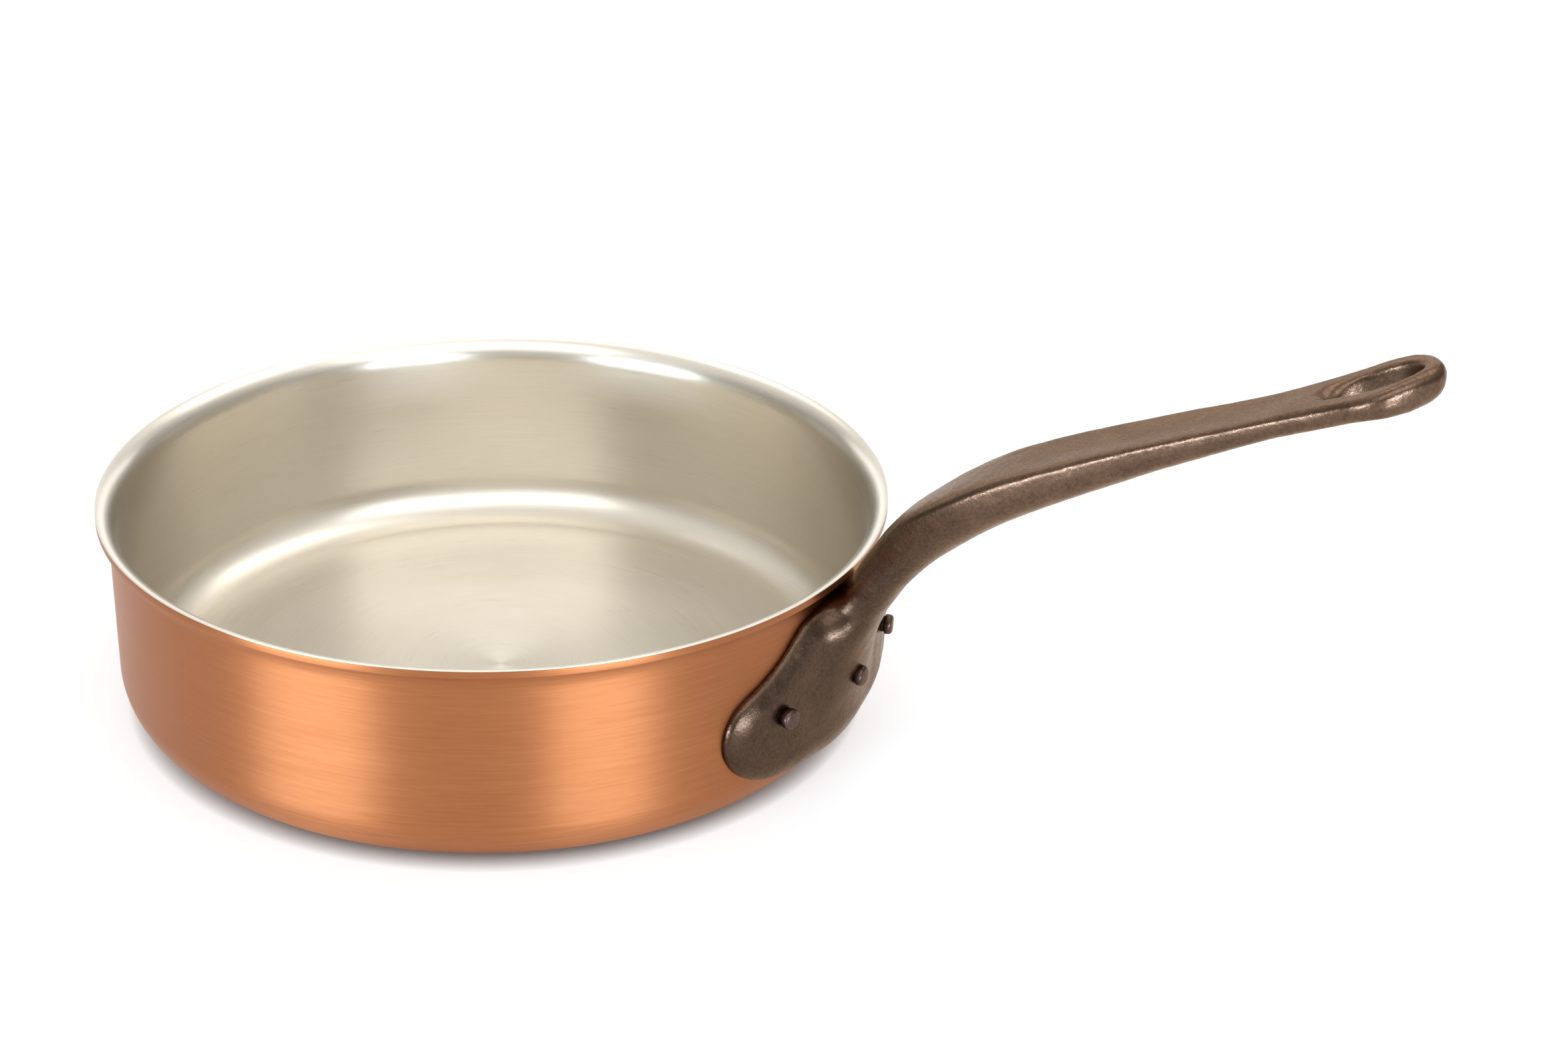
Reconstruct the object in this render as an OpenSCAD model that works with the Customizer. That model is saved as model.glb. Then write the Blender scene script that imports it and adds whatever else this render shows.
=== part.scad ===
// Shallow straight-sided copper pan (saute pan) with a steel lining and a
// riveted cast iron handle.  All lengths in millimetres.
// Origin: centre of the underside of the base.  +Z up, handle along +X.

/* [Pan body] */
// Inside diameter of the pan, between the straight walls
inner_d = 240; // [200:1:280]
// Height of the pan, from the table to the top of the rim
pan_h = 70; // [64:1:85]
// Thickness of the copper sheet
copper_t = 2.25; // [1.5:0.05:2.6]
// Thickness of the stainless steel lining
lining_t = 0.25; // [0.2:0.05:0.5]
// Radius of the rounded corner between wall and base, outside
corner_r = 16.5; // [12:0.5:20]
// How far the pouring rim reaches out past the straight wall
flare_out = 3.6; // [2:0.1:5]
// Height of the part of the wall that curves out into the rim
flare_h = 8.5; // [7:0.5:12]

/* [Handle] */
// Thickness of the handle's fixing plate at its middle
plate_t = 5; // [4:0.25:6]
// Half width of the fixing plate, measured round the wall
plate_half_w = 53.5; // [50:0.5:56]
// Half width of the opening in the hanging eye
eye_half_w = 10; // [7:0.25:10.5]
// Extra length of the grip between the neck and the eye
grip_extra = 0; // [0:1:40]

/* [Rivets] */
// Diameter of a rivet's shank
rivet_d = 5; // [4:0.25:6]
// Diameter of a rivet's outer head
outer_head_d = 6.4; // [6:0.1:9]
// Thickness of a rivet's outer head
outer_head_t = 2.5; // [1.5:0.1:3.5]
// Diameter of a rivet's inner head, inside the pan
inner_head_d = 14; // [10:0.5:18]
// Height of the three rivets above the table
rivet_z = 35; // [32:1:38]
// Angle between neighbouring rivets, round the pan
rivet_step = 15.5; // [14:0.5:17]

/* [Hidden] */

fit = 0.05;                          // clearance round each rivet, on the radius
wall_t = copper_t + lining_t;        // whole sheet
r_in = inner_d / 2;                  // inside of the straight wall
r_out = r_in + wall_t;               // outside of the straight wall
r_rim = r_out + flare_out;           // outside of the rim
z_flare = pan_h - flare_h;           // where the wall starts to curve out
seam_r = r_in + lining_t;            // between copper and lining
dx = r_out - 122.5;                  // handle moves with the wall
plate_r = r_out + 0.05;              // back of the fixing plate
plate_in_z = rivet_z - 35;           // plate moves with the rivets

copper_col = [0.80, 0.45, 0.28];
steel_col = [0.78, 0.76, 0.70];
iron_col = [0.32, 0.26, 0.22];
rivet_col = [0.27, 0.20, 0.19];

// ---- pan profile ---------------------------------------------------------

// points on an elliptic quarter, centre c, half axes a (across) and b (up)
function quarter(c, a, b, a0, a1, n) =
    [for (i = [0:n]) let (t = a0 + (a1 - a0) * i / n) [c[0] + a * cos(t), c[1] + b * sin(t)]];

// one surface of the sheet, k being its depth below the inside surface,
// from the axis to the rim's outer edge
function skin(k) = concat(
    [[0, wall_t - k]],
    quarter([r_out - corner_r, corner_r], corner_r - wall_t + k, corner_r - wall_t + k, -90, 0, 16),
    quarter([r_rim, z_flare], r_rim - r_in - k, flare_h - k, 180, 90, 14)
);

function back_to_front(p) = [for (i = [len(p) - 1:-1:0]) p[i]];

module between(k0, k1) {
    rotate_extrude($fn = 180)
        polygon(concat(skin(k1), back_to_front(skin(k0))));
}

// ---- rivets ---------------------------------------------------------------

module on_wall(i) {
    rotate([0, 0, i * rivet_step]) translate([0, 0, rivet_z]) rotate([0, 90, 0]) children();
}

module rivet_bores() {
    for (i = [-1:1]) on_wall(i) cylinder(h = r_out + 40, r = rivet_d / 2 + fit, $fn = 48);
}

head_back = sqrt(r_in * r_in - inner_head_d * inner_head_d / 4) - 0.03;
front_r = r_out + plate_t + 1.0;     // where the outer rivets' heads start
boss = 2.2;                          // the plate stands this much prouder at its middle

module rivet(i) {
    h = 2.0;                         // height of the inner dome
    f = front_r + (i == 0 ? boss : 0);
    on_wall(i) rotate_extrude($fn = 64) polygon(concat(
        [[0, head_back - h]],
        [for (k = [1:8]) let (t = k * 90 / 8) [inner_head_d / 2 * sin(t) * 0.985, head_back - 0.5 - (h - 0.5) * cos(t)]],
        [[inner_head_d / 2, head_back - 0.35], [inner_head_d / 2, head_back],
         [rivet_d / 2, head_back], [rivet_d / 2, f],
         [outer_head_d / 2 - 0.3, f], [outer_head_d / 2, f + 0.4],
         [outer_head_d / 2, f + outer_head_t - 0.6],
         [outer_head_d / 2 - 0.6, f + outer_head_t],
         [0, f + outer_head_t + 0.1]]));
}

// ---- handle ---------------------------------------------------------------

// Stations along the handle, each a cut from a point on its top to a point on
// its underside: [top x, top z, bottom x, bottom z, half width,
// squareness above, squareness below, share of the cut above the widest line]
stations = [
    [121,    22,   126.8,  20,   26,   2.2, 2.2, 0.50],
    [121,    30,   128.6,  28,   24,   2.2, 2.2, 0.50],
    [121.5,  37,   129.9,  34,   22,   2.2, 2.2, 0.50],
    [122,    44,   131,    40.5, 19.5, 2.1, 2.1, 0.50],
    [123,    51,   132.8,  47,   17,   2.1, 2.1, 0.50],
    [124.6,  58.5, 135.4,  53.2, 13.5, 2.2, 2.2, 0.50],
    [127,    66.5, 139,    59.8, 10.8, 2.4, 2.4, 0.50],
    [133.8,  79.8, 146.2,  71.2, 11,   2.6, 2.4, 0.48],
    [145.5,  96,   157.5,  84,   13.5, 3.2, 2.4, 0.42],
    [166,   112,   175,    99,   17,   4.2, 2.4, 0.36],
    [187,   123.5, 194,   111.5, 16.2, 5.0, 2.4, 0.32],
    [214.5, 136.5, 219.5, 126.5, 14,   5.0, 2.4, 0.32],
    [244.5, 149.9, 248.5, 142.8, 12.6, 5.0, 2.6, 0.36],
    [264.5, 159.4, 268,   152.7, 14.4, 4.4, 3.0, 0.42],
    [275.5, 164.9, 278,   157.9, 17,   4.2, 3.0, 0.46],
    [282.5, 168.9, 283.8, 159.6, 15.8, 4.2, 3.0, 0.50],
    [287.5, 171.6, 287.8, 160.2, 11.6, 3.8, 3.0, 0.50],
    [290.8, 172.5, 290.8, 161,   7.4,  3.4, 3.0, 0.50],
    [292.9, 171.8, 292.9, 162.2, 3.4,  3.2, 3.0, 0.50],
    [293.6, 170.6, 293.6, 163.6, 0.8,  3.0, 3.0, 0.50]
];

// the grip's stations past the neck are spread by grip_extra
function spread(x) = grip_extra * max(0, min(1, (x - 190) / 56));
st = [for (s = stations) [s[0] + dx + spread(s[0]), s[1] + spread(s[0]) / 2,
                          s[2] + dx + spread(s[0]), s[3] + spread(s[0]) / 2,
                          s[4], s[5], s[6], s[7]]];

function cr(a, b, c, d, t) =
    0.5 * ((2 * b) + (c - a) * t + (2 * a - 5 * b + 4 * c - d) * t * t
           + (3 * b - a - 3 * c + d) * t * t * t);
function at(p, i) = p[max(0, min(len(p) - 1, i))];
function along(p, u) = let (i = min(len(p) - 2, floor(u)), t = u - i)
    cr(at(p, i - 1), at(p, i), at(p, i + 1), at(p, i + 2), t);

steps = 4;                           // rings between two stations
rings = (len(st) - 1) * steps;
pts_round = 28;                      // points round one ring

function power(v, e) = sign(v) * pow(abs(v), e);

// one ring of the handle's skin
function ring(u) = let (s = along(st, u))
    [for (k = [0:pts_round - 1])
        let (t = 360 * k / pts_round, up = sin(t) > 0,
             e = 2 / (up ? s[5] : s[6]),
             y = s[4] * power(cos(t), e),
             v = s[7] - (up ? s[7] : 1 - s[7]) * power(sin(t), e))
        [s[0] + (s[2] - s[0]) * v, y, s[1] + (s[3] - s[1]) * v]];

// closed skin over a list of rings, all with n points
module skin_over(r, n) {
    m = len(r);
    polyhedron(
        points = [for (a = r) for (p = a) p],
        faces = concat(
            [for (i = [0:m - 2]) for (k = [0:n - 1])
                [i * n + k, (i + 1) * n + k, (i + 1) * n + (k + 1) % n]],
            [for (i = [0:m - 2]) for (k = [0:n - 1])
                [i * n + k, (i + 1) * n + (k + 1) % n, i * n + (k + 1) % n]],
            [[for (k = [0:n - 1]) k]],
            [[for (k = [n - 1:-1:0]) (m - 1) * n + k]]),
        convexity = 6);
}

module grip() {
    skin_over([for (i = [0:rings]) ring(i / steps)], pts_round);
}

// Outline of the fixing plate: [distance round the wall, height]
half_outline = [
    [0, 11.5], [20, 11.5], [33, 12.3], [42, 14.8], [48.5, 19],
    [52.3, 24.5], [53.5, 30], [52.6, 35.5], [49.8, 40], [45.5, 43.4],
    [40, 46.2], [34, 49.6], [29, 53.2], [24.5, 57.2], [20, 60.2], [12, 61.3]
];
plate_w = plate_half_w / 53.5;
outline_c = [0, 34];                 // point the outline shrinks towards
outline = concat(
    [for (p = half_outline) p],
    [[0, 61.5]],
    [for (i = [len(half_outline) - 1:-1:1]) [-half_outline[i][0], half_outline[i][1]]]);
plate_pts = 64;

function loop(p, u) = let (n = len(p), i = floor(u), t = u - i)
    cr(p[(i + n - 1) % n], p[i % n], p[(i + 1) % n], p[(i + 2) % n], t);

// a point on the plate, f of the way out to its edge, h in front of the wall
function on_plate(u, f, h) =
    let (q = loop(outline, u),
         s = (outline_c[0] + (q[0] - outline_c[0]) * f) * plate_w,
         z = outline_c[1] + (q[1] - outline_c[1]) * f + plate_in_z,
         a = s / 122.5 * 180 / PI, r = plate_r + h)
    [r * cos(a), r * sin(a), z];

// [share of the way out, height in front of the wall as a share of plate_t]
front = [[0.02, 1.06], [0.35, 1.04], [0.62, 0.99], [0.80, 0.93], [0.90, 0.82],
         [0.965, 0.62], [0.995, 0.36], [1, 0.12], [0.995, -0.3]];

module fixing_plate() {
    skin_over([for (g = back_to_front(front))
        [for (k = [0:plate_pts - 1]) on_plate(len(outline) * k / plate_pts, g[0], g[1] * plate_t)]],
        plate_pts);
}

// Opening of the hanging eye: a drop with its point towards the pan, cut
// square to the eye and eased where it meets the top and the underside
eye_x = 278.5;                       // widest place of the opening, on the top
eye_to_tip = 9.5;                    // from there to the opening's outer end
eye_to_pan = 18.5;                   // and to its inner end
eye_pts = 40;
// [how far down from the top, growth of the opening]
eye_levels = [[12, 4], [1.6, 1.3], [0, 0.5], [-1.4, 0.05], [-4, 0], [-6, 0.1], [-7.4, 0.6], [-9, 1.6], [-20, 4]];

function eye_point(t, level) =
    let (g = level[1],
         x = (cos(t) > 0 ? eye_to_tip : eye_to_pan) * cos(t) + g * cos(t),
         y = (eye_half_w + g) * sin(t),
         z = 166.5 + 0.6 * x + 0.006 * x * x)
    [eye_x + x + dx + grip_extra - 0.4 * level[0], y, z + grip_extra / 2 + level[0]];

module eye_opening() {
    skin_over([for (l = back_to_front(eye_levels))
        [for (k = [0:eye_pts - 1]) eye_point(360 * k / eye_pts, l)]], eye_pts);
}

module handle_casting() {
    resize([0, 0, 0]) difference() {
        union() { grip(); fixing_plate(); }
        eye_opening();
    }
}

// ---- pieces ----------------------------------------------------------------

module copper_shell() {
    color(copper_col) difference() {
        between(lining_t, wall_t);
        rivet_bores();
    }
}

module steel_lining() {
    color(steel_col) difference() {
        between(0, lining_t);
        rivet_bores();
    }
}

module handle() {
    color(iron_col) difference() {
        handle_casting();
        translate([0, 0, -1]) cylinder(h = pan_h + 1, r = plate_r, $fn = 180);
        rivet_bores();
    }
}

module rivet_left() { color(rivet_col) rivet(-1); }
module rivet_center() { color(rivet_col) rivet(0); }
module rivet_right() { color(rivet_col) rivet(1); }

copper_shell();
steel_lining();
handle();
rivet_left();
rivet_center();
rivet_right();
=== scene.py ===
import math
import bpy
import bmesh
import numpy as np
from mathutils import Matrix, Vector, noise


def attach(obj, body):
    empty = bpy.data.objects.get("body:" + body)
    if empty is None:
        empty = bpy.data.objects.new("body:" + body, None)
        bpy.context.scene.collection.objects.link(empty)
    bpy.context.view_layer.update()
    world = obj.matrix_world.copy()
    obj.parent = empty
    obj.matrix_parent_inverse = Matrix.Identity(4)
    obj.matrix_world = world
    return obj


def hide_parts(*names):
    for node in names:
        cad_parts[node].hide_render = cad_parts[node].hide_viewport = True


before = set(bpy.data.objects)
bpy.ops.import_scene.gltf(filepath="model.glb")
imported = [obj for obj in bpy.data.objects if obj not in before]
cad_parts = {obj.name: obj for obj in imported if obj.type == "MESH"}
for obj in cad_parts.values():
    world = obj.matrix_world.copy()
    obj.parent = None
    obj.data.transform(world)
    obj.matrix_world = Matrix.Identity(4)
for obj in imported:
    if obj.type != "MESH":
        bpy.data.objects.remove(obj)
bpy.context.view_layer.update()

MM = 0.001

# ---------------------------------------------------------------- dimensions
# the same numbers as the design, in millimetres
COPPER_T, LINING_T = 2.25, 0.25
R_IN, PAN_H, CORNER_R = 120.0, 70.0, 16.5
FLARE_OUT, FLARE_H = 3.6, 8.5
WALL_T = COPPER_T + LINING_T
R_OUT = R_IN + WALL_T
R_RIM = R_OUT + FLARE_OUT
Z_FLARE = PAN_H - FLARE_H
PLATE_T, PLATE_R = 5.0, R_OUT + 0.05
RIVET_D, HEAD_D, HEAD_T, INNER_D = 5.0, 6.4, 2.5, 14.0
RIVET_Z, RIVET_STEP, BOSS = 35.0, 15.5, 2.2

scene = bpy.context.scene


def collect(obj):
    scene.collection.objects.link(obj)
    return obj


def mesh_object(name, verts, faces, sharp=None):
    me = bpy.data.meshes.new(name)
    me.from_pydata([tuple(v) for v in verts], [], [tuple(f) for f in faces])
    me.validate()
    me.update()
    ob = collect(bpy.data.objects.new(name, me))
    me.shade_smooth()
    if sharp is not None:
        me.set_sharp_from_angle(angle=math.radians(sharp))
    return ob


# ---------------------------------------------------------------- turned parts
def arc(c, a, b, a0, a1, n):
    return [(c[0] + a * math.cos(math.radians(a0 + (a1 - a0) * i / n)),
             c[1] + b * math.sin(math.radians(a0 + (a1 - a0) * i / n))) for i in range(n + 1)]


def skin(k, n1=24, n2=22):
    """One surface of the sheet at depth k below the inside, from near the axis to the rim."""
    z = WALL_T - k
    flat = [(r, z) for r in (0.6, 2.0, 5.0, 12.0, 25.0, 45.0, 65.0, 85.0, 98.0)]
    corner = arc((R_OUT - CORNER_R, CORNER_R), CORNER_R - WALL_T + k, CORNER_R - WALL_T + k, -90, 0, n1)
    wall = [(R_IN + k, CORNER_R + (Z_FLARE - CORNER_R) * t) for t in (0.12, 0.3, 0.5, 0.7, 0.88)]
    flare = arc((R_RIM, Z_FLARE), R_RIM - R_IN - k, FLARE_H - k, 180, 90, n2)
    return flat + corner + wall + flare


def eased(points, i, radius, n=5):
    """Rounds the profile's corner at index i with a small fillet."""
    p = np.array(points[i], float)
    a, b = np.array(points[i - 1], float), np.array(points[(i + 1) % len(points)], float)
    u, v = a - p, b - p
    lu, lv = np.linalg.norm(u), np.linalg.norm(v)
    u, v = u / lu, v / lv
    half = math.acos(float(np.clip(u @ v, -1, 1))) / 2
    t = min(radius / math.tan(half), 0.45 * lu, 0.45 * lv)
    r = t * math.tan(half)
    c = p + (u + v) / np.linalg.norm(u + v) * (r / math.sin(half))
    s, e = p + u * t, p + v * t
    a0, a1 = math.atan2(*(s - c)[::-1]), math.atan2(*(e - c)[::-1])
    while a1 - a0 > math.pi:
        a1 -= 2 * math.pi
    while a1 - a0 < -math.pi:
        a1 += 2 * math.pi
    fil = [(c[0] + r * math.cos(a0 + (a1 - a0) * j / n), c[1] + r * math.sin(a0 + (a1 - a0) * j / n))
           for j in range(n + 1)]
    return points[:i] + fil + points[i + 1:]


def lathe(name, profile, n, sharp=35.0, matrix=None):
    """Closed turned solid: the profile runs from one point on the axis side to another, in mm,
    and both ends are closed by a fan on the axis."""
    rings = len(profile)
    ang = [2 * math.pi * k / n for k in range(n)]
    verts = [(r * math.cos(a), r * math.sin(a), z) for r, z in profile for a in ang]
    faces = [(i * n + k, i * n + (k + 1) % n, (i + 1) * n + (k + 1) % n, (i + 1) * n + k)
             for i in range(rings - 1) for k in range(n)]
    first, last = len(verts), len(verts) + 1
    verts += [(0, 0, profile[0][1]), (0, 0, profile[-1][1])]
    faces += [(first, (k + 1) % n, k) for k in range(n)]
    faces += [(last, (rings - 1) * n + k, (rings - 1) * n + (k + 1) % n) for k in range(n)]
    verts = np.array(verts) * MM
    if matrix is not None:
        m = np.array(matrix)
        verts = verts @ m[:3, :3].T + m[:3, 3]
    ob = mesh_object(name, verts, faces)
    bm = bmesh.new()
    bm.from_mesh(ob.data)
    bmesh.ops.recalc_face_normals(bm, faces=bm.faces)
    bm.to_mesh(ob.data)
    bm.free()
    ob.data.shade_smooth()
    ob.data.set_sharp_from_angle(angle=math.radians(sharp))
    return ob


def on_wall(i):
    """Frame of rivet i: its own Z runs out of the pan through the wall."""
    return (Matrix.Rotation(math.radians(i * RIVET_STEP), 4, 'Z')
            @ Matrix.Translation((0, 0, RIVET_Z * MM)) @ Matrix.Rotation(math.pi / 2, 4, 'Y'))


def drill(ob, radius, z0, z1):
    """Bores the three rivet holes through a piece."""
    prof = [(radius, z0), (radius, z1)]
    for i in (-1, 0, 1):
        cutter = lathe("cutter", prof, 48, matrix=on_wall(i))
        mod = ob.modifiers.new("bore", 'BOOLEAN')
        mod.operation, mod.solver, mod.object = 'DIFFERENCE', 'EXACT', cutter
        dg = bpy.context.evaluated_depsgraph_get()
        me = bpy.data.meshes.new_from_object(ob.evaluated_get(dg))
        ob.modifiers.clear()
        old, ob.data = ob.data, me
        bpy.data.meshes.remove(old)
        bpy.data.objects.remove(cutter)
    ob.data.shade_smooth()
    ob.data.set_sharp_from_angle(angle=math.radians(35))


SEG = 384
# copper: underside and outside, over the cut edge, and back under the lining
outer = skin(WALL_T)
inner = skin(LINING_T)
shell_prof = outer + inner[::-1]
k = len(outer) - 1
shell_prof = eased(shell_prof, k + 1, 0.12, 3)
shell_prof = eased(shell_prof, k, 0.45, 5)
copper = lathe("copper_pan", shell_prof, SEG)
# lining: its lower side lies on the copper, its upper side is the cooking surface
lower = skin(LINING_T)
upper = skin(0.0)
lining_prof = lower + upper[::-1]
k = len(lower) - 1
lining_prof = eased(lining_prof, k + 1, 0.12, 4)
lining = lathe("steel_lining_turned", lining_prof, SEG)
drill(copper, RIVET_D / 2 + 0.05, 110, 135)
drill(lining, RIVET_D / 2 + 0.05, 110, 135)


# ---------------------------------------------------------------- rivets
head_back = math.sqrt(R_IN ** 2 - INNER_D ** 2 / 4) - 0.03


def rivet(name, i):
    f = R_OUT + PLATE_T + 1.0 + (BOSS if i == 0 else 0)
    h = 2.0
    dome = [(0.4, head_back - h)] + [
        (INNER_D / 2 * math.sin(math.radians(t)) * 0.985, head_back - 0.5 - (h - 0.5) * math.cos(math.radians(t)))
        for t in np.linspace(8, 90, 14)]
    dome += [(INNER_D / 2, head_back - 0.38), (INNER_D / 2, head_back - 0.12), (INNER_D / 2 - 0.1, head_back)]
    hd, t = HEAD_D / 2, HEAD_T
    prof = dome + [(RIVET_D / 2, head_back), (RIVET_D / 2, f - 0.3), (RIVET_D / 2 + 0.1, f - 0.08), (RIVET_D / 2 + 0.3, f),
                   (hd - 0.35, f), (hd - 0.12, f + 0.1), (hd, f + 0.35),
                   (hd + 0.02, f + t * 0.5), (hd, f + t - 0.85), (hd - 0.12, f + t - 0.55), (hd - 0.42, f + t - 0.22),
                   (hd - 0.85, f + t - 0.04), (hd - 1.3, f + t), (hd - 2.2, f + t + 0.06), (0.4, f + t + 0.08)]
    ob = lathe(name, prof, 72, sharp=50, matrix=on_wall(i))
    # hammered, slightly uneven head
    m = on_wall(i).inverted()
    for v in ob.data.vertices:
        p = m @ v.co
        if p.z > (f - 0.5) * MM:
            s = noise.noise(Vector((v.co.x, v.co.y, v.co.z)) * 420.0 + Vector((7.0 * i, 3.0, 1.0)))
            s2 = noise.noise(Vector((v.co.x, v.co.y, v.co.z)) * 1100.0 + Vector((5.0 * i, 9.0, 4.0)))
            p.x *= 1 + 0.035 * s + 0.01 * s2
            p.y *= 1 + 0.035 * s + 0.01 * s2
            p.z += (0.10 * s + 0.04 * s2) * MM
            v.co = m.inverted() @ p
    ob.data.update()
    return ob


rivets = [rivet("rivet_forged_left", -1), rivet("rivet_forged_center", 0), rivet("rivet_forged_right", 1)]

# ---------------------------------------------------------------- handle
# [top x, top z, underside x, underside z, half width, squareness above, below, share above]
STATIONS = np.array([
    [110, 20, 120.5, 18, 10.0, 2.0, 2.0, 0.50],
    [113, 28, 123.2, 25, 11.0, 2.0, 2.0, 0.50],
    [116, 36, 126.2, 32, 12.0, 2.0, 2.0, 0.50],
    [119, 44, 129.2, 39.5, 12.6, 2.0, 2.0, 0.50],
    [122, 51, 132.0, 46.5, 12.6, 2.0, 2.0, 0.50],
    [124.6, 58.5, 135.2, 53.2, 12.0, 2.2, 2.2, 0.50],
    [127, 66.5, 139, 59.8, 10.8, 2.4, 2.4, 0.50],
    [133.8, 79.8, 146.2, 71.2, 11, 2.8, 2.4, 0.48],
    [145.5, 96, 157.5, 84, 13.5, 3.6, 2.4, 0.42],
    [166, 112, 175, 99, 17, 5.0, 2.4, 0.36],
    [187, 123.5, 194, 111.5, 16.2, 6.5, 2.4, 0.32],
    [214.5, 136.5, 219.5, 126.5, 14, 6.5, 2.4, 0.32],
    [244.5, 149.9, 248.5, 142.8, 12.6, 6.0, 2.6, 0.36],
    [264.5, 159.4, 268, 153.5, 14.4, 4.4, 3.0, 0.42],
    [275.5, 164.9, 278, 158.7, 17, 4.2, 3.0, 0.46],
    [282.8, 168.9, 284.0, 160.6, 15.9, 4.2, 3.0, 0.50],
    [288.1, 171.6, 288.4, 161.4, 12.0, 3.8, 3.0, 0.50],
    [291.5, 172.6, 291.5, 162.2, 7.8, 3.4, 3.0, 0.50],
    [293.7, 172.6, 293.7, 163.0, 3.7, 3.2, 3.0, 0.50],
    [294.4, 172.4, 294.4, 163.4, 0.0, 3.0, 3.0, 0.50]], float)


def catmull(P, u):
    n = len(P)
    i = np.clip(np.floor(u).astype(int), 0, n - 2)
    t = (u - i)[:, None]
    a, b, c, d = (P[np.clip(i + j, 0, n - 1)] for j in (-1, 0, 1, 2))
    return 0.5 * (2 * b + (c - a) * t + (2 * a - 5 * b + 4 * c - d) * t ** 2 + (3 * b - a - 3 * c + d) * t ** 3)


# outline of the fixing plate, [distance round the wall, height]
HALF = [(0, 11.5), (20, 11.5), (33, 12.3), (42, 14.8), (48.5, 19), (52.3, 24.5), (53.5, 30), (52.6, 35.5),
        (49.8, 40), (45.5, 43.4), (40, 46.2), (34, 49.6), (29, 53.2), (24.5, 57.2), (20, 60.2), (12, 61.3)]
PLATE = np.array(HALF + [(0, 61.5)] + [(-s, z) for s, z in HALF[:0:-1]], float)


def closed_curve(P, per):
    n = len(P)
    u = np.arange(n * per) / per
    i = np.floor(u).astype(int)
    t = (u - i)[:, None]
    a, b, c, d = (P[(i + j) % n] for j in (-1, 0, 1, 2))
    return 0.5 * (2 * b + (c - a) * t + (2 * a - 5 * b + 4 * c - d) * t ** 2 + (3 * b - a - 3 * c + d) * t ** 3)


def polygon_distance(X, Y, poly):
    """Signed distance to a closed polygon, negative inside."""
    shape = X.shape
    p = np.stack([X.ravel(), Y.ravel()], 1).astype(np.float32)
    a = poly.astype(np.float32)
    b = np.roll(a, -1, 0)
    best = np.full(len(p), 1e9, np.float32)
    inside = np.zeros(len(p), bool)
    for q, r in zip(a, b):
        e = r - q
        w = p - q
        t = np.clip((w @ e) / max(float(e @ e), 1e-9), 0, 1)
        d = w - t[:, None] * e
        best = np.minimum(best, d[:, 0] ** 2 + d[:, 1] ** 2)
        if q[1] != r[1]:
            c = (q[1] > p[:, 1]) != (r[1] > p[:, 1])
            inside ^= c & (p[:, 0] < (r[0] - q[0]) * (p[:, 1] - q[1]) / (r[1] - q[1]) + q[0])
    d = np.sqrt(best)
    return np.where(inside, -d, d).reshape(shape)


def sample2(table, x0, y0, h, X, Y):
    """Bilinear look-up in a table that starts at x0, y0 with spacing h."""
    fx = np.clip((X - x0) / h, 0, table.shape[0] - 1.001)
    fy = np.clip((Y - y0) / h, 0, table.shape[1] - 1.001)
    i, j = fx.astype(np.int32), fy.astype(np.int32)
    tx, ty = (fx - i).astype(np.float32), (fy - j).astype(np.float32)
    return ((1 - tx) * ((1 - ty) * table[i, j] + ty * table[i, j + 1])
            + tx * ((1 - ty) * table[i + 1, j] + ty * table[i + 1, j + 1]))


def smooth_min(a, b, k):
    h = np.maximum(k - np.abs(a - b), 0) / k
    return np.minimum(a, b) - h * h * k * 0.25


def smooth_max(a, b, k):
    return -smooth_min(-a, -b, k)


def round_max(a, b, r):
    """Intersection of two half spaces with a true radius on the edge between them."""
    return np.minimum(np.maximum(a + r, b + r), 0) + np.sqrt(np.maximum(a + r, 0) ** 2 + np.maximum(b + r, 0) ** 2) - r


def ease(x, a, b):
    t = np.clip((x - a) / (b - a), 0, 1)
    return t * t * (3 - 2 * t)


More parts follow.
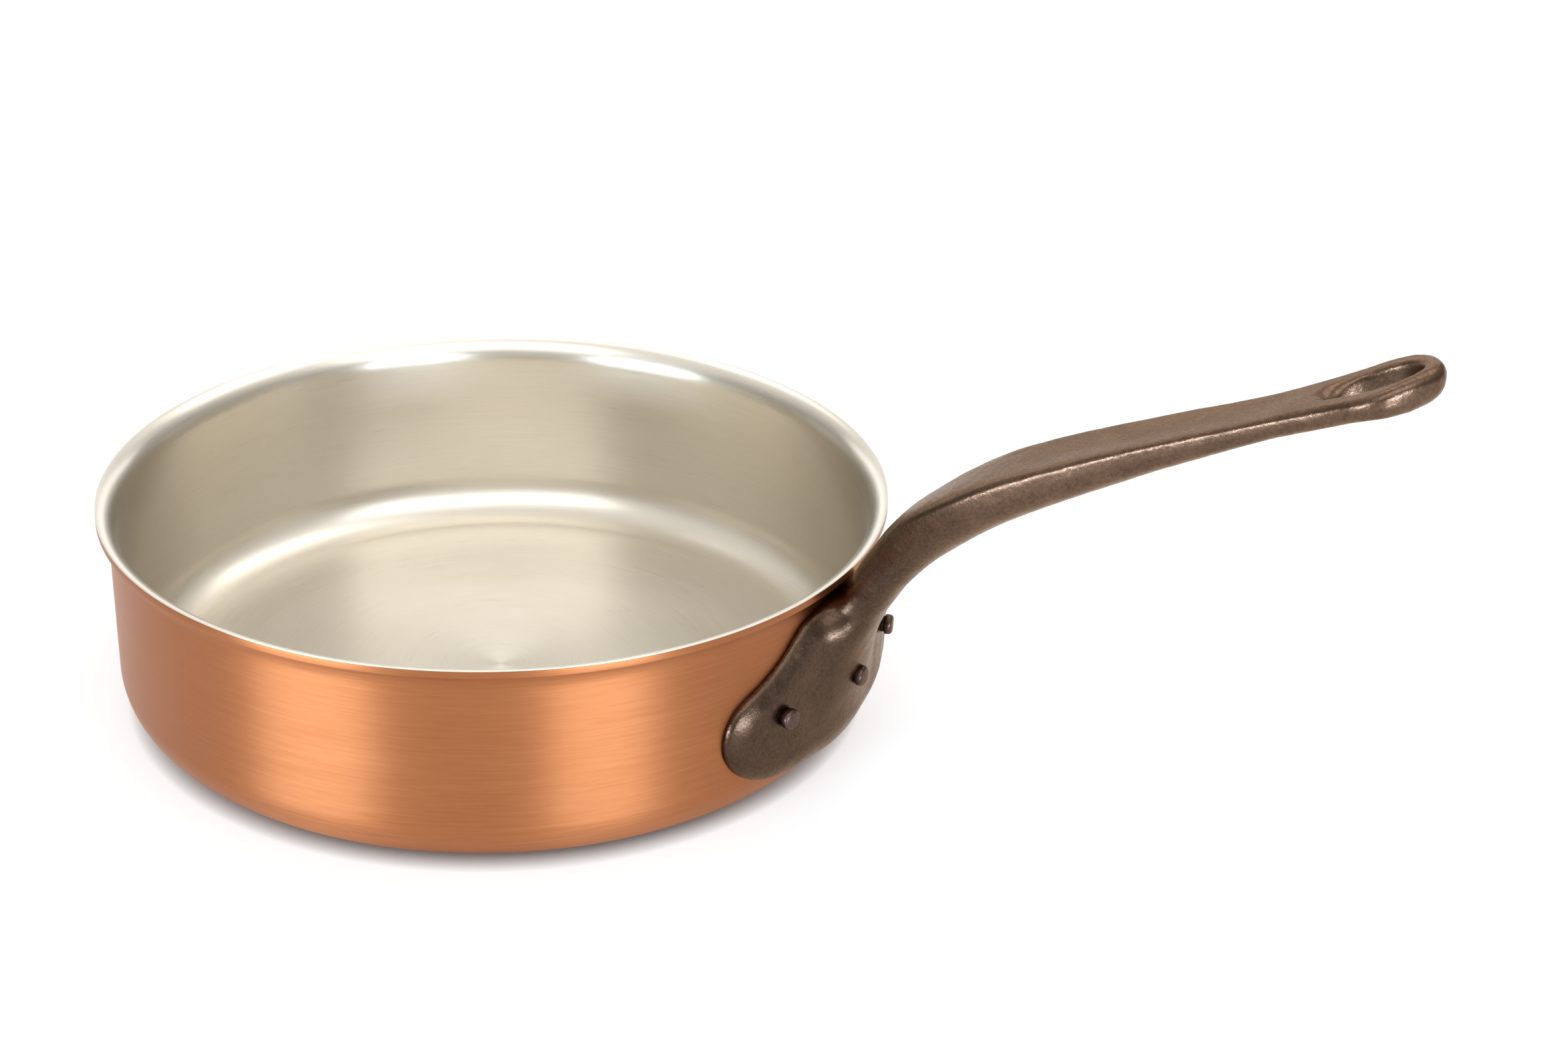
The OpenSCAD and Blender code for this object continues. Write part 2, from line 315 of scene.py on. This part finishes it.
def handle_field(h):
    """Distance-like field of the whole casting on a grid of spacing h, for y >= 0."""
    x = np.arange(107.0, 297.5, h, dtype=np.float32)
    y = (np.arange(0, int(58.5 / h) + 1) + 0.5).astype(np.float32) * h
    z = np.arange(8.0, 177.0, h, dtype=np.float32)

    # --- grip: every point of the XZ plane lies on one cut of the grip
    us = np.linspace(0, len(STATIONS) - 1, 1400)
    tab = catmull(STATIONS, us)
    T, B = tab[:, :2], tab[:, 2:4]
    X, Z = np.meshgrid(x, z, indexing='ij')
    lo = np.zeros(X.shape)
    hi = np.full(X.shape, len(us) - 1.0)

    def cut(c, u):
        i = np.clip(u.astype(int), 0, len(us) - 2)
        t = u - i
        return c[i] * (1 - t) + c[i + 1] * t

    def side(u):
        tx, tz, bx, bz = cut(T[:, 0], u), cut(T[:, 1], u), cut(B[:, 0], u), cut(B[:, 1], u)
        ex, ez = bx - tx, bz - tz
        l = np.hypot(ex, ez)
        return ((X - tx) * -ez + (Z - tz) * ex) / l

    for _ in range(22):
        mid = (lo + hi) / 2
        s = side(mid)
        ahead = s > 0
        lo = np.where(ahead, mid, lo)
        hi = np.where(ahead, hi, mid)
    U = (lo + hi) / 2
    off = side(U)                                   # not zero past either end
    tx, tz, bx, bz = (cut(c, U) for c in (T[:, 0], T[:, 1], B[:, 0], B[:, 1]))
    ex, ez = bx - tx, bz - tz
    H = np.hypot(ex, ez)
    Q = ((X - tx) * ex + (Z - tz) * ez) / H         # distance down from the top
    W, NT, NB, A = (cut(tab[:, c], U) for c in (4, 5, 6, 7))
    seg = np.concatenate([[0], np.cumsum(np.hypot(*np.diff(T, axis=0).T))])
    S = cut(seg, U) + np.where(U > len(us) - 1.01, np.maximum(off, 0), 0)
    end = np.where(np.abs(off) > 0.3, np.abs(off) - 0.3, -50)
    Xt = tx                                          # x of the cut's top point
    f32 = np.float32
    Q, H, W, NT, NB, A, S, Xt, end = (a.astype(f32)[:, None, :] for a in (Q, H, W, NT, NB, A, S, Xt, end))
    Yb = y[None, :, None]

    # the top is dished between its two raised edges
    dish = 0.9 * ease(Xt, 160, 195) * (1 - ease(Xt, 246, 262))
    rel = np.clip(Yb / np.maximum(W, 1), 0, 1)
    q = Q - dish * (1 - rel ** 2) * np.clip(1.5 - Q / np.maximum(H, 1) * 3, 0, 1)
    ht, hb = H * A, H * (1 - A)
    upper = q < ht
    V = np.abs(q - ht) / np.where(upper, ht, hb)
    Yn = Yb / np.maximum(W, 0.5)
    n = np.where(upper, NT, NB)
    N = np.maximum((Yn ** n + V ** n) ** (1 / n), 1e-4)
    g = np.sqrt(((Yn / N) ** (n - 1) / np.maximum(W, 0.5)) ** 2 + ((V / N) ** (n - 1) / np.where(upper, ht, hb)) ** 2)
    grip = ((N - 1) / np.maximum(g, 1e-3)).astype(f32)

    # --- hanging eye, in the plane (distance along the top, y)
    sx = np.interp(278.5, T[:, 0], seg)             # widest place of the opening
    out = np.stack([seg, tab[:, 4]], 1)
    out = out[us > 11.0]
    out = np.concatenate([out, out[::-1] * [1, -1]])
    t = np.radians(np.arange(0, 360, 4))
    hole = np.stack([sx + np.where(np.cos(t) > 0, 11.0, 17.5) * np.cos(t), 9.5 * np.sin(t)], 1)
    s_axis = np.arange(seg[-1] - 60, seg[-1] + 8, 0.25)
    y_axis = np.arange(-1, 60, 0.25)
    SX, SY = np.meshgrid(s_axis, y_axis, indexing='ij')
    d_out = polygon_distance(SX, SY, out[::4] if len(out) > 900 else out[::2])
    d_hole = polygon_distance(SX, SY, hole)
    Sb = np.broadcast_to(S, (len(x), len(y), len(z)))
    Yf = np.broadcast_to(Yb, Sb.shape)
    near = (Xt > 236) & (Q > -30) & (Q < 45)
    near = np.broadcast_to(near, Sb.shape)
    eye = np.full(Sb.shape, 50, f32)
    s_n, y_n = Sb[near], Yf[near]
    Dq = sample2(d_out, s_axis[0], y_axis[0], 0.25, s_n, y_n)
    Dh = sample2(d_hole, s_axis[0], y_axis[0], 0.25, s_n, y_n)
    Qn, Hn = (np.broadcast_to(a, Sb.shape)[near] for a in (Q, H))
    top, bot = -Qn, Qn - Hn
    # outer edges: a small radius on top, a larger one underneath
    tipness = ease(s_n, sx - 2, sx + 14)
    o = np.where(top > bot, round_max(Dq, top, 2.3 + 1.3 * tipness),
                 round_max(Dq, bot, 3.6 + 1.0 * tipness + 1.6 * (1 - ease(s_n, sx - 40, sx - 8))))
    lead = 1 - ease(s_n, sx - 22, sx - 9)
    i_ = np.where(top > bot, round_max(-Dh, top, 1.2 + 3.6 * lead), round_max(-Dh, bot, 1.3))
    eye[near] = np.maximum(o, i_)
    m = ease(Xt, 238, 270)
    holecut = np.full(Sb.shape, -50, f32)
    holecut[near] = i_
    body = grip * (1 - m) + np.maximum(eye, -20) * m
    body = np.maximum(body, np.where(Xt > 236, holecut, -50))
    body = np.maximum(body, end)
    del eye, holecut, grip, Sb

    # --- fixing plate, rolled to the wall
    poly = closed_curve(PLATE, 10)
    ps, pz = np.arange(-1, 64, 0.25), np.arange(2, 72, 0.25)
    PS, PZ = np.meshgrid(ps, pz, indexing='ij')
    d_plate = polygon_distance(PS, PZ, poly)
    XY = np.hypot(x[:, None], y[None, :])
    SA = np.arctan2(y[None, :], x[:, None]) * 122.5
    rad = XY[:, :, None].astype(f32)
    D = sample2(d_plate, ps[0], pz[0], 0.25, np.broadcast_to(SA[:, :, None], body.shape),
                np.broadcast_to(z[None, None, :], body.shape)).astype(f32)
    inn = np.clip(-D / 8.5, 0, 1)
    thick = 1.5 + (PLATE_T - 1.5) * (1 - (1 - inn) ** 1.9)
    plate = round_max(D, (rad - (PLATE_R + thick)) * 0.8, 1.0)
    whole = smooth_min(plate, body, 11.0)
    # back of the plate lies on the wall
    whole = np.maximum(whole, PLATE_R - rad)
    # rivet holes
    for i in (0, 1):
        a = math.radians(i * RIVET_STEP)
        u = -x[:, None] * math.sin(a) + y[None, :] * math.cos(a)
        d = np.sqrt(u[:, :, None] ** 2 + (z[None, None, :] - RIVET_Z) ** 2)
        whole = np.maximum(whole, (RIVET_D / 2 + 0.05) - np.where(x[:, None, None] < 140, d, 99))
    return x, y, z, whole.astype(f32)


def settle(F):
    """Fills the grid's corner-to-corner contacts, where the surface would touch itself."""
    for _ in range(8):
        found = 0
        for ax in range(3):
            o1, o2 = [k_ for k_ in range(3) if k_ != ax]

            def part(d1, d2):
                sl = [slice(None)] * 3
                sl[o1] = slice(d1, F.shape[o1] - 1 + d1)
                sl[o2] = slice(d2, F.shape[o2] - 1 + d2)
                return F[tuple(sl)]
            p00, p10, p01, p11 = part(0, 0), part(1, 0), part(0, 1), part(1, 1)
            for a, b, c, d in ((p00, p10, p01, p11), (p10, p00, p11, p01)):
                bad = (a < 0) & (d < 0) & (b >= 0) & (c >= 0)
                found += int(bad.sum())
                nearer = bad & (b <= c)
                b[nearer] = -0.02
                c[bad & ~nearer] = -0.02
        if not found:
            break
    return F


def surface_nets(F, org, h):
    S = F < 0
    nx, ny, nz = F.shape
    cnt = np.zeros((nx - 1, ny - 1, nz - 1), np.int8)
    for i in (0, 1):
        for j in (0, 1):
            for k_ in (0, 1):
                cnt += S[i:nx - 1 + i, j:ny - 1 + j, k_:nz - 1 + k_]
    act = (cnt > 0) & (cnt < 8)
    I, J, K = np.nonzero(act)
    idx = np.full(act.shape, -1, np.int32)
    idx[I, J, K] = np.arange(len(I))
    acc = np.zeros((len(I), 3))
    num = np.zeros(len(I))
    corners = [(i, j, k_) for i in (0, 1) for j in (0, 1) for k_ in (0, 1)]
    for a in corners:
        for ax in range(3):
            if a[ax] == 0:
                b = list(a)
                b[ax] = 1
                fa, fb = F[I + a[0], J + a[1], K + a[2]], F[I + b[0], J + b[1], K + b[2]]
                c = (fa < 0) != (fb < 0)
                t = np.where(c, fa / np.where(fa == fb, 1, fa - fb), 0)
                p = np.array(a, float)[None, :].repeat(len(I), 0)
                p[:, ax] += t
                acc[c] += p[c]
                num[c] += 1
    V = (np.stack([I, J, K], 1) + acc / num[:, None]) * h + org
    quads = []
    for ax in range(3):
        s0 = [slice(None)] * 3
        s1 = [slice(None)] * 3
        s0[ax], s1[ax] = slice(0, -1), slice(1, None)
        a, b = S[tuple(s0)], S[tuple(s1)]
        o1, o2 = [(1, 2), (2, 0), (0, 1)][ax]
        ch = a != b
        g = np.array(np.nonzero(ch))
        ok = (g[o1] > 0) & (g[o2] > 0) & (g[o1] < F.shape[o1] - 1) & (g[o2] < F.shape[o2] - 1)
        g = g[:, ok]
        inside_first = a[tuple(g)]

        def cell(d1, d2):
            c = g.copy()
            c[o1] += d1
            c[o2] += d2
            return idx[tuple(c)]
        q = np.stack([cell(-1, -1), cell(0, -1), cell(0, 0), cell(-1, 0)], 1)
        q[~inside_first] = q[~inside_first][:, ::-1]
        quads.append(q)
    return V, np.concatenate(quads)


def trilinear(F, org, h, P):
    g = (P - org) / h
    g = np.clip(g, 0, np.array(F.shape) - 1.001)
    i = g.astype(int)
    t = g - i
    r = 0
    for a in (0, 1):
        for b in (0, 1):
            for c in (0, 1):
                w = ((t[:, 0] if a else 1 - t[:, 0]) * (t[:, 1] if b else 1 - t[:, 1]) * (t[:, 2] if c else 1 - t[:, 2]))
                r = r + w * F[i[:, 0] + a, i[:, 1] + b, i[:, 2] + c]
    return r


def gradient(F, org, h, P):
    e = 0.5 * h
    g = np.stack([(trilinear(F, org, h, P + d) - trilinear(F, org, h, P - d)) / (2 * e)
                  for d in np.eye(3) * e], 1)
    return g


def make_handle():
    h = 0.62
    x, y, z, half = handle_field(h)
    half = settle(half)
    F = np.concatenate([half[:, ::-1], half], axis=1)
    org = np.array([x[0], -y[-1], z[0]], float)
    V, Q = surface_nets(F, org, h)
    # relax along the surface, then pull back onto it
    e = np.concatenate([Q[:, [0, 1]], Q[:, [1, 2]], Q[:, [2, 3]], Q[:, [3, 0]]])
    e = np.unique(np.sort(e, 1), axis=0)
    deg = np.bincount(e.ravel(), minlength=len(V)).astype(float)
    for it in range(6):
        s = np.zeros_like(V)
        for c in range(3):
            s[:, c] = (np.bincount(e[:, 0], V[e[:, 1], c], len(V)) + np.bincount(e[:, 1], V[e[:, 0], c], len(V)))
        d = s / deg[:, None] - V
        g = gradient(F, org, h, V)
        n = g / np.maximum(np.linalg.norm(g, axis=1), 1e-6)[:, None]
        d -= n * (d * n).sum(1)[:, None]
        V = V + 0.5 * d
        f = trilinear(F, org, h, V)
        g = gradient(F, org, h, V)
        l2 = np.maximum((g * g).sum(1), 0.05)
        V = V - g * np.clip(f / l2, -0.4 * h, 0.4 * h)[:, None]
    # a casting is never quite even
    n = g / np.maximum(np.linalg.norm(g, axis=1), 1e-6)[:, None]
    r = np.hypot(V[:, 0], V[:, 1])
    free = (r > PLATE_R + 0.8)
    amp = np.array([0.16 * noise.noise(Vector(p * 0.07)) + 0.07 * noise.noise(Vector(p * 0.22 + 5.0))
                    + 0.035 * noise.noise(Vector(p * 0.75 + 9.0)) for p in V])
    V = V + n * (amp * free)[:, None]
    ob = mesh_object("handle_casting", V * MM, Q)
    # edge wear, from how much the surface turns at each point
    s = np.zeros_like(V)
    for c in range(3):
        s[:, c] = (np.bincount(e[:, 0], V[e[:, 1], c], len(V)) + np.bincount(e[:, 1], V[e[:, 0], c], len(V)))
    bend = ((V - s / deg[:, None]) * n).sum(1) / (h * h)
    for _ in range(4):
        bend = 0.4 * bend + 0.6 * (np.bincount(e[:, 0], bend[e[:, 1]], len(V)) + np.bincount(e[:, 1], bend[e[:, 0]], len(V))) / deg
    att = ob.data.attributes.new("wear", 'FLOAT', 'POINT')
    att.data.foreach_set("value", np.clip((bend - 0.03) / 0.25, 0, 1).astype(np.float32))
    return ob


handle = make_handle()


# ---------------------------------------------------------------- materials
class Mat:
    def __init__(self, name):
        self.m = bpy.data.materials.new(name)
        self.m.use_nodes = True
        self.t = self.m.node_tree
        self.t.nodes.clear()
        self.out = self.n("ShaderNodeOutputMaterial")
        self.b = self.n("ShaderNodeBsdfPrincipled")
        self.l(self.b.outputs[0], self.out.inputs["Surface"])

    def n(self, kind, **props):
        node = self.t.nodes.new(kind)
        for k_, v in props.items():
            setattr(node, k_, v)
        return node

    def l(self, a, b):
        self.t.links.new(a, b)

    def put(self, sock, v):
        if hasattr(v, "links") or hasattr(v, "is_output"):
            self.l(v, sock)
        else:
            sock.default_value = v

    def math(self, op, a, b=None, clamp=False):
        node = self.n("ShaderNodeMath", operation=op, use_clamp=clamp)
        self.put(node.inputs[0], a)
        if b is not None:
            self.put(node.inputs[1], b)
        return node.outputs[0]

    def noise(self, vec, scale, detail=3.0, rough=0.55, distort=0.0):
        node = self.n("ShaderNodeTexNoise")
        self.l(vec, node.inputs["Vector"])
        node.inputs["Scale"].default_value = scale
        node.inputs["Detail"].default_value = detail
        node.inputs["Roughness"].default_value = rough
        node.inputs["Distortion"].default_value = distort
        return node.outputs["Fac"]

    def remap(self, v, a, b, c, d, smooth=False):
        node = self.n("ShaderNodeMapRange", interpolation_type='SMOOTHSTEP' if smooth else 'LINEAR')
        self.l(v, node.inputs[0])
        for i, val in zip((1, 2, 3, 4), (a, b, c, d)):
            node.inputs[i].default_value = val
        return node.outputs[0]

    def ramp(self, v, stops):
        node = self.n("ShaderNodeValToRGB")
        self.l(v, node.inputs[0])
        els = node.color_ramp.elements
        while len(els) < len(stops):
            els.new(0.5)
        for el, (pos, col) in zip(els, stops):
            el.position = pos
            el.color = (*col, 1)
        return node.outputs[0]

    def mix(self, f, a, b, mode='MIX'):
        node = self.n("ShaderNodeMix", data_type='RGBA', blend_type=mode)
        self.put(node.inputs[0], f)
        self.put(node.inputs[6], a)
        self.put(node.inputs[7], b)
        return node.outputs[2]

    def scaled(self, vec, s):
        node = self.n("ShaderNodeVectorMath", operation='MULTIPLY')
        self.l(vec, node.inputs[0])
        node.inputs[1].default_value = s
        return node.outputs[0]

    def bump(self, height, strength, distance, normal=None):
        node = self.n("ShaderNodeBump")
        node.inputs["Strength"].default_value = strength
        node.inputs["Distance"].default_value = distance
        self.l(height, node.inputs["Height"])
        if normal is not None:
            self.l(normal, node.inputs["Normal"])
        return node.outputs[0]


def turned_coords(m):
    """Position round and along a turned sheet: (x, y, z + r), so that lines run round the axis."""
    tc = m.n("ShaderNodeTexCoord")
    sep = m.n("ShaderNodeSeparateXYZ")
    m.l(tc.outputs["Object"], sep.inputs[0])
    x, y, z = sep.outputs
    r = m.math('SQRT', m.math('ADD', m.math('MULTIPLY', x, x), m.math('MULTIPLY', y, y)))
    com = m.n("ShaderNodeCombineXYZ")
    m.l(x, com.inputs[0])
    m.l(y, com.inputs[1])
    m.l(m.math('ADD', z, r), com.inputs[2])
    return com.outputs[0], tc.outputs["Object"]


def brushed(name, dark, light, rough, aniso, streak, bump_mm):
    m = Mat(name)
    co, obj = turned_coords(m)
    fine = m.noise(m.scaled(co, (90, 90, 5200)), 1.0, 3.0, 0.6)
    mid = m.noise(m.scaled(co, (45, 45, 1500)), 1.0, 3.0, 0.6)
    broad = m.noise(m.scaled(co, (14, 14, 90)), 1.0, 2.0, 0.5)
    s = m.math('ADD', m.math('MULTIPLY', fine, 0.45), m.math('ADD', m.math('MULTIPLY', mid, 0.4), m.math('MULTIPLY', broad, 0.15)))
    tone = m.remap(s, 0.5 - streak, 0.5 + streak, 0, 1)
    m.l(m.ramp(tone, [(0.0, dark), (1.0, light)]), m.b.inputs["Base Color"])
    m.l(m.remap(s, 0.35, 0.65, rough[0], rough[1]), m.b.inputs["Roughness"])
    m.b.inputs["Metallic"].default_value = 1.0
    m.b.inputs["Anisotropic"].default_value = aniso
    m.b.inputs["Anisotropic Rotation"].default_value = 0.25
    tan = m.n("ShaderNodeTangent", direction_type='RADIAL', axis='Z')
    m.l(tan.outputs[0], m.b.inputs["Tangent"])
    m.l(m.bump(m.math('ADD', m.math('MULTIPLY', fine, 0.5), mid), 1.0, bump_mm * MM), m.b.inputs["Normal"])
    return m.m


copper_mat = brushed("copper_brushed", (0.375, 0.134, 0.052), (0.460, 0.184, 0.078), (0.36, 0.46), 0.86, 0.16, 0.010)
steel_mat = brushed("steel_brushed", (0.70, 0.65, 0.565), (0.77, 0.725, 0.64), (0.27, 0.34), 0.62, 0.2, 0.0018)


def iron(name, c0, c1, c2, grain, rough, metallic, coat, shade_near_pan):
    m = Mat(name)
    tc = m.n("ShaderNodeTexCoord")
    co = tc.outputs["Object"]
    g1 = m.noise(co, 2600.0, 3.0, 0.6)
    g2 = m.noise(co, 900.0, 4.0, 0.6)
    g3 = m.noise(co, 120.0, 4.0, 0.6, 0.4)
    vor = m.n("ShaderNodeTexVoronoi", feature='F1')
    m.l(co, vor.inputs["Vector"])
    vor.inputs["Scale"].default_value = 1100.0
    pits = m.remap(vor.outputs["Distance"], 0.0, 0.5, 0, 1)
    tone = m.math('ADD', m.math('MULTIPLY', g1, 0.30), m.math('ADD', m.math('MULTIPLY', g2, 0.45), m.math('MULTIPLY', g3, 0.25)))
    col = m.ramp(m.remap(tone, 0.38, 0.62, 0, 1), [(0.0, c0), (0.5, c1), (1.0, c2)])
    if shade_near_pan:                                        # painted shade: darker towards the pan, below x = 178 mm, over the plate and neck, standing in for their darker reflections
        sep = m.n("ShaderNodeSeparateXYZ")
        m.l(co, sep.inputs[0])
        pan_shade_fade = m.remap(sep.outputs[0], 0.136, 0.178, 0, 1)
        mix = m.n("ShaderNodeMix", data_type='RGBA', blend_type='MULTIPLY')
        mix.inputs[0].default_value = 1.0
        m.l(col, mix.inputs[6])
        m.l(m.ramp(pan_shade_fade, [(0.0, (0.58, 0.56, 0.54)), (1.0, (1.0, 1.0, 1.0))]), mix.inputs[7])
        col = mix.outputs[2]
    m.l(col, m.b.inputs["Base Color"])
    m.l(m.remap(tone, 0.40, 0.60, rough[1], rough[0]), m.b.inputs["Roughness"])
    m.b.inputs["Metallic"].default_value = metallic
    m.b.inputs["Specular Tint"].default_value = (0.85, 0.68, 0.56, 1)
    m.b.inputs["Coat Weight"].default_value = coat   # the oiled skin of old iron
    m.b.inputs["Coat Roughness"].default_value = 0.26
    m.b.inputs["Coat IOR"].default_value = 1.5
    height = m.math('ADD', m.math('MULTIPLY', g1, 0.5), m.math('ADD', g2, m.math('MULTIPLY', pits, 0.25)))
    m.l(m.bump(height, 1.0, grain * MM), m.b.inputs["Normal"])
    return m.m


# the handle's iron gets painted shade on its plate and neck, darker towards the pan
iron_mat = iron("cast_iron_patina", (0.075, 0.043, 0.026), (0.120, 0.071, 0.045), (0.160, 0.099, 0.065), 0.07, (0.23, 0.38), 1.0, 0.2, True)
rivet_mat = iron("rivet_patina", (0.054, 0.030, 0.023), (0.080, 0.046, 0.036), (0.108, 0.066, 0.052), 0.05, (0.34, 0.48), 1.0, 0.3, False)

for ob, mat in ((copper, copper_mat), (lining, steel_mat), (handle, iron_mat), *((r, rivet_mat) for r in rivets)):
    ob.data.materials.clear()
    ob.data.materials.append(mat)
for nd, mat in (("copper_shell", copper_mat), ("steel_lining", steel_mat), ("handle", iron_mat),
                ("rivet_left", rivet_mat), ("rivet_center", rivet_mat), ("rivet_right", rivet_mat)):
    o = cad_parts[nd]
    o.data.materials.clear()
    o.data.materials.append(mat)

for ob, nd, slot in ((copper, "copper_shell", "copper"), (lining, "steel_lining", "lining"), (handle, "handle", "cast_iron"),
                     (rivets[0], "rivet_left", "rivet"), (rivets[1], "rivet_center", "rivet"), (rivets[2], "rivet_right", "rivet")):
    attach(ob, "root")
    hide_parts(nd)

# ---------------------------------------------------------------- stage, light, camera
VIEW_AZ = 33.2                                       # the camera's own turn round the pan


def around(az, el, dist, target=(0.02, 0.0, 0.04)):
    """A place at this azimuth from the camera's side (positive to its right), elevation and distance."""
    a = math.radians(az - 90 + VIEW_AZ)
    e = math.radians(el)
    return Vector(target) + Vector((math.cos(a) * math.cos(e), math.sin(a) * math.cos(e), math.sin(e))) * dist


def softbox(name, az, el, dist, w, h_, radiance, color=(1, 1, 1), target=(0.02, 0.0, 0.04)):
    li = bpy.data.lights.new(name, 'AREA')
    li.shape, li.size, li.size_y = 'RECTANGLE', w, h_
    li.energy = radiance * w * h_ * math.pi
    li.color = color
    ob = collect(bpy.data.objects.new(name, li))
    ob.location = around(az, el, dist, target)
    ob.rotation_mode = 'QUATERNION'
    ob.rotation_quaternion = (Vector(target) - ob.location).to_track_quat('-Z', 'Y')
    return ob


softbox("key", 158, 61, 1.9, 2.5, 1.2, 1.5)
softbox("back", 180, 17, 1.8, 3.0, 0.45, 1.3)
softbox("front", 6, 53, 1.7, 2.4, 0.95, 1.9, color=(0.97, 1.0, 1.03))
softbox("left_strip", -50, 4.0, 1.3, 0.74, 0.18, 28.5, color=(0.90, 1.05, 1.20), target=(0.0, 0.0, 0.01))
softbox("right_strip", 26, 4.0, 1.4, 0.66, 0.19, 27.0, color=(0.90, 1.05, 1.20), target=(0.0, 0.0, 0.01))

world = bpy.data.worlds.new("studio")
scene.world = world
world.use_nodes = True
nt = world.node_tree
nt.nodes.clear()
wo = nt.nodes.new("ShaderNodeOutputWorld")
bg = nt.nodes.new("ShaderNodeBackground")
bg.inputs["Color"].default_value = (1, 0.98, 0.95, 1)
wc = nt.nodes.new("ShaderNodeTexCoord")
wsep = nt.nodes.new("ShaderNodeSeparateXYZ")
wr = nt.nodes.new("ShaderNodeMapRange")
wr.interpolation_type = 'SMOOTHSTEP'
for i, v in zip((1, 2, 3, 4), (0.05, 0.75, 0.28, 0.95)):
    wr.inputs[i].default_value = v
nt.links.new(wc.outputs["Generated"], wsep.inputs[0])
nt.links.new(wsep.outputs[2], wr.inputs[0])
nt.links.new(wr.outputs[0], bg.inputs["Strength"])
nt.links.new(bg.outputs[0], wo.inputs["Surface"])

me = bpy.data.meshes.new("floor")
F_ = 14.0
me.from_pydata([(-F_, -F_, 0), (F_, -F_, 0), (F_, F_, 0), (-F_, F_, 0)], [], [(0, 1, 2, 3)])
floor = collect(bpy.data.objects.new("floor", me))
fm = Mat("floor_white")
fm.b.inputs["Base Color"].default_value = (0.375, 0.38, 0.385, 1)
fm.b.inputs["Emission Color"].default_value = (1, 1, 1, 1)
# painted shadow: the floor's glow is darkened by ambient occlusion right against the pan, a painted contact shadow
painted_shadow_ao = fm.n("ShaderNodeAmbientOcclusion")
painted_shadow_ao.samples = 8
painted_shadow_ao.inputs["Distance"].default_value = 0.006
fm.l(fm.math('MULTIPLY', fm.math('POWER', painted_shadow_ao.outputs["AO"], 1.2), 0.62), fm.b.inputs["Emission Strength"])
fm.b.inputs["Roughness"].default_value = 0.9
fm.b.inputs["Specular IOR Level"].default_value = 0.1
me.materials.append(fm.m)

cam_data = bpy.data.cameras.new("camera")
cam = collect(bpy.data.objects.new("camera", cam_data))
cam_data.lens, cam_data.sensor_width = 59.47, 36.0
cam_data.clip_start, cam_data.clip_end = 0.01, 100.0
right = Vector((0.99376504, -0.10742747, 0.02983945))
down = Vector((-0.02020737, -0.43673948, -0.89936105))
fwd = Vector((0.10964814, 0.89315059, -0.43618725))
turn = Matrix.Rotation(math.radians(VIEW_AZ), 3, 'Z')
right, down, fwd = turn @ right, turn @ down, turn @ fwd
rot = Matrix((right, -down, -fwd)).transposed()
cam.matrix_world = Matrix.Translation(turn @ Vector((0.0, -0.76195, 0.42520))) @ rot.to_4x4()
scene.camera = cam
scene.view_settings.view_transform = 'Standard'
scene.view_settings.look = 'None'
